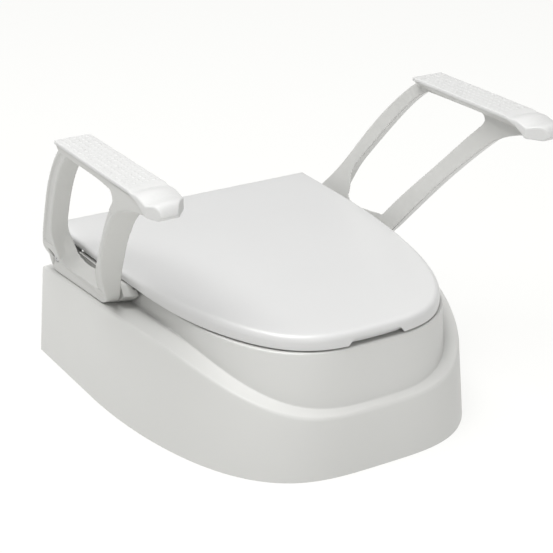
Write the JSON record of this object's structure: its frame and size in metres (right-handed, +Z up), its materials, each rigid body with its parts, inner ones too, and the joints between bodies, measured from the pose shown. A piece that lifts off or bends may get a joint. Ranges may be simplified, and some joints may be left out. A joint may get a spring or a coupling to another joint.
{
  "type": "raised toilet seat",
  "caption": "Raised toilet seat with hinged lid and ring on a drafted shell that stands over the bowl, and flip-up armrests with padded tops.",
  "frame": {"origin": "under the middle of the bounding box, in the plane of the bottom edge of the skirt", "axes": "+Z up, -Y towards the front (the way the user faces), +X to the user's left when seated"},
  "size_m": [0.534, 0.474, 0.3577],
  "materials": {
    "lid_plastic": "smooth satin white",
    "seat_plastic": "smooth satin white",
    "shell_plastic": "moulded, fine satin",
    "guard_plastic": "moulded, satin",
    "pad_plastic": "fine dimpled grip texture",
    "arm_plastic": "moulded, satin",
    "frame_plastic": "moulded, matt",
    "bush_plastic": "plain",
    "rubber": "matt",
    "steel": "zinc plated",
    "plate_steel": "zinc plated sheet"
  },
  "bodies": {
    "base": {"block_bolts": "steel", "bracket_screws": "steel", "front_support": "frame_plastic", "hinge_screws": "steel", "left_arm_bracket": "frame_plastic", "left_arm_pin": "steel", "left_arm_stop": "arm_plastic", "left_height_block": "frame_plastic", "left_hinge_block": "frame_plastic", "left_hinge_pin": "steel", "left_side_beam": "frame_plastic", "mounting_plate": "plate_steel", "outer_shell": "shell_plastic", "plate_screws": "steel", "rear_crossbeam": "frame_plastic", "right_arm_bracket": "frame_plastic", "right_arm_pin": "steel", "right_arm_stop": "arm_plastic", "right_height_block": "frame_plastic", "right_hinge_block": "frame_plastic", "right_hinge_pin": "steel", "right_side_beam": "frame_plastic", "rim_pads": "rubber", "shell_screws": "steel", "splash_guard": "guard_plastic"},
    "seat": {"seat_ring": "seat_plastic", "seat_buffers": "rubber"},
    "lid": {"lid": "lid_plastic", "lid_buffers": "rubber"},
    "left_arm": {"left_arm_bush": "bush_plastic", "left_arm_foot_buffer": "rubber", "left_arm_frame": "arm_plastic", "left_arm_pad": "pad_plastic", "left_arm_pad_screws": "steel"},
    "right_arm": {"right_arm_bush": "bush_plastic", "right_arm_foot_buffer": "rubber", "right_arm_frame": "arm_plastic", "right_arm_pad": "pad_plastic", "right_arm_pad_screws": "steel"}
  },
  "joints": [
    {"name": "seat_hinge", "type": "hinge", "parent": "base", "child": "seat", "pos_m": [0, 0.225, 0.154], "axis": [-1, 0, 0], "range_deg": [0, 92]},
    {"name": "lid_hinge", "type": "hinge", "parent": "seat", "child": "lid", "pos_m": [0, 0.225, 0.154], "axis": [-1, 0, 0], "range_deg": [0, 90]},
    {"name": "left_arm_pivot", "type": "hinge", "parent": "base", "child": "left_arm", "pos_m": [-0.19575, 0.2005, 0.1455], "axis": [-1, 0, 0], "range_deg": [0, 90]},
    {"name": "right_arm_pivot", "type": "hinge", "parent": "base", "child": "right_arm", "pos_m": [0.19575, 0.2005, 0.1455], "axis": [-1, 0, 0], "range_deg": [0, 90]}
  ]
}
